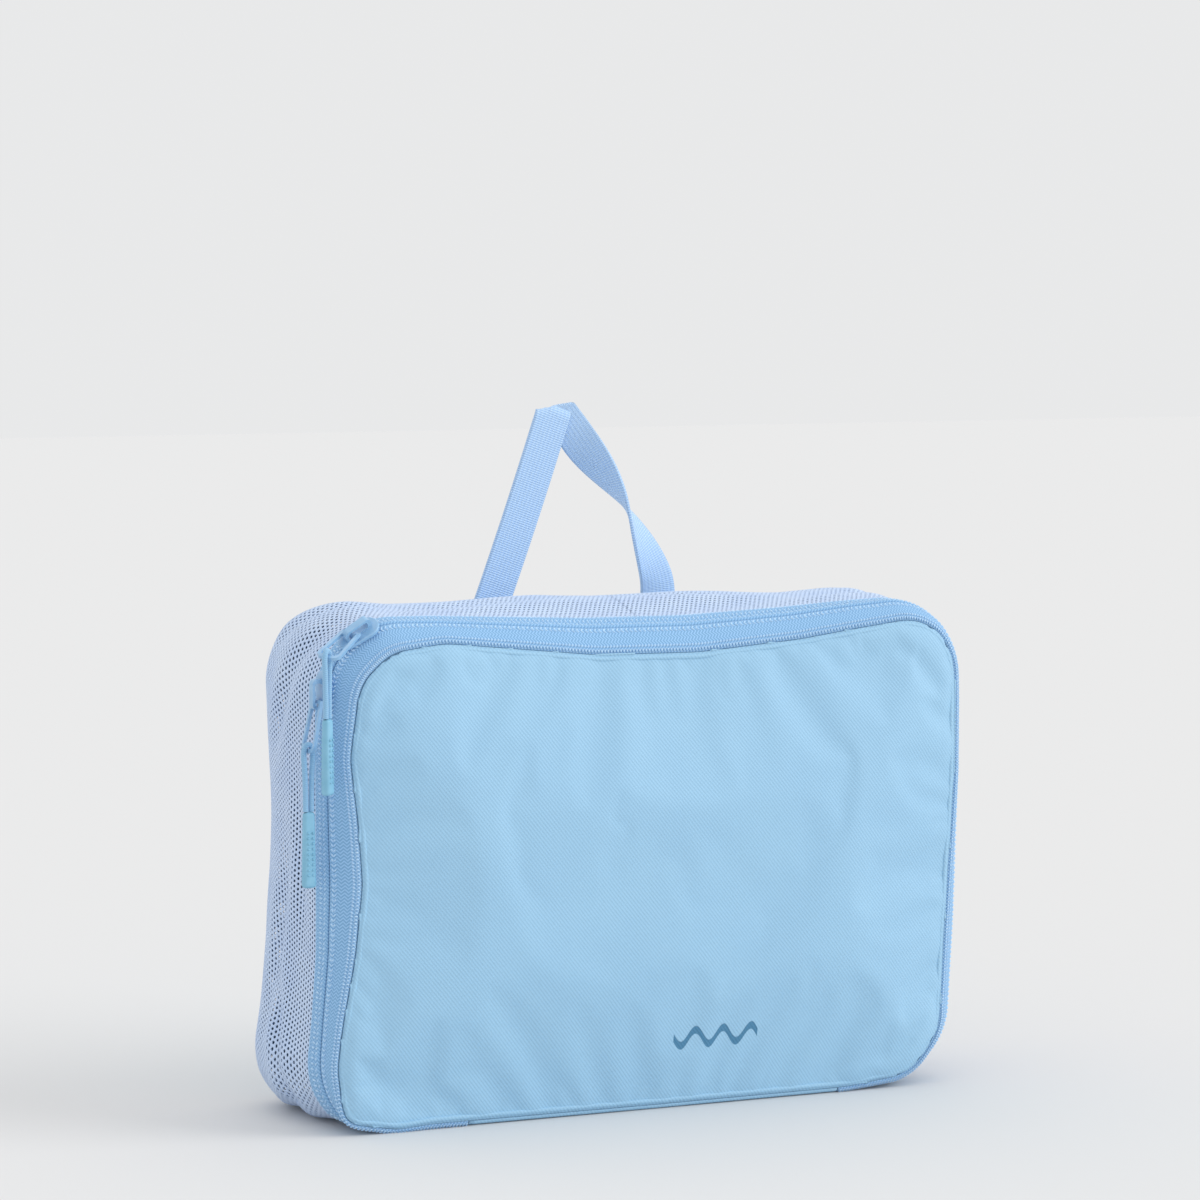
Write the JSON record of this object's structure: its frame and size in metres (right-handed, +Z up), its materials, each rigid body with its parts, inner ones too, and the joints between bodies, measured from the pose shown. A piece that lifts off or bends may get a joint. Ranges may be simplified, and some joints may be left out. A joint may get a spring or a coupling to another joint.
{
  "type": "packing cube",
  "caption": "Soft upright packing cube with a zip-around front flap, mesh sides, paired zip sliders with corded pulls and a webbing carry loop.",
  "frame": {"origin": "middle of the flat bottom, on the surface the cube stands on", "axes": "+X to the right seen from the front, +Y to the back, +Z up"},
  "size_m": [0.2802, 0.0917, 0.274],
  "materials": {
    "panel_cloth": "coated twill, satin",
    "mesh": "knitted polyester mesh with round holes",
    "zip_tape": "ribbed woven polyester tape",
    "zip_coil": "satin nylon coil",
    "binding": "plain woven binding tape",
    "foam": "soft padding, open cell",
    "lining": "plain woven lining",
    "slider_paint": "satin paint on die-cast zinc",
    "cord": "smooth braided cord",
    "grip_rubber": "matte moulded rubber",
    "webbing": "ribbed woven webbing",
    "thread": "polyester sewing thread"
  },
  "bodies": {
    "bag": {"rear_zip_tape": "zip_tape", "rear_zip_coil": "zip_coil", "mesh_gusset": "mesh", "gusset_seam_binding": "binding", "back_panel": "panel_cloth", "back_seam_binding": "binding", "hinge_strip": "panel_cloth", "zip_end_tab_left": "binding", "zip_end_tab_right": "binding", "handle_bartacks": "thread"},
    "flap": {"front_panel": "panel_cloth", "front_foam": "foam", "front_lining": "lining", "front_zip_tape": "zip_tape", "front_zip_coil": "zip_coil", "front_seam_binding": "binding"},
    "side_slider": {"side_slider_body": "slider_paint"},
    "side_bail": {"side_slider_bail": "slider_paint"},
    "side_pull": {"side_pull_cord": "cord", "side_pull_grip": "grip_rubber"},
    "top_slider": {"top_slider_body": "slider_paint"},
    "top_bail": {"top_slider_bail": "slider_paint"},
    "top_pull": {"top_pull_cord": "cord", "top_pull_grip": "grip_rubber"},
    "handle": {"handle_webbing": "webbing"}
  },
  "joints": [
    {"name": "flap_hinge", "type": "hinge", "parent": "bag", "child": "flap", "pos_m": [0, -0.042, 0.0095], "axis": [1, 0, 0], "range_deg": [0, 92]},
    {"name": "side_slider_travel", "type": "slide", "parent": "bag", "child": "side_slider", "axis": [0, 0, -1], "range_m": [0, 0.09]},
    {"name": "side_bail_swing", "type": "hinge", "parent": "side_slider", "child": "side_bail", "pos_m": [-0.13806, -0.03269, 0.1654], "axis": [-0.1392, 0.9903, 0], "range_deg": [0, 100]},
    {"name": "side_pull_swing", "type": "hinge", "parent": "side_bail", "child": "side_pull", "pos_m": [-0.14193, -0.03323, 0.14701], "axis": [-0.1392, 0.9903, 0], "range_deg": [0, 75]},
    {"name": "top_slider_travel", "type": "hinge", "parent": "bag", "child": "top_slider", "pos_m": [-0.105, -0.032, 0.165], "axis": [0, 1, 0], "range_deg": [0, 33]},
    {"name": "top_bail_swing", "type": "hinge", "parent": "top_slider", "child": "top_bail", "pos_m": [-0.12487, -0.03425, 0.19083], "axis": [-0.6486, 0.7488, 0.1367], "range_deg": [0, 100]},
    {"name": "top_pull_swing", "type": "hinge", "parent": "top_bail", "child": "top_pull", "pos_m": [-0.13853, -0.04469, 0.18322], "axis": [-0.6486, 0.7488, 0.1367], "range_deg": [0, 75]},
    {"name": "handle_fold", "type": "hinge", "parent": "bag", "child": "handle", "pos_m": [0, 0.04305, 0.185], "axis": [1, 0, 0], "range_deg": [-150, 35]}
  ]
}
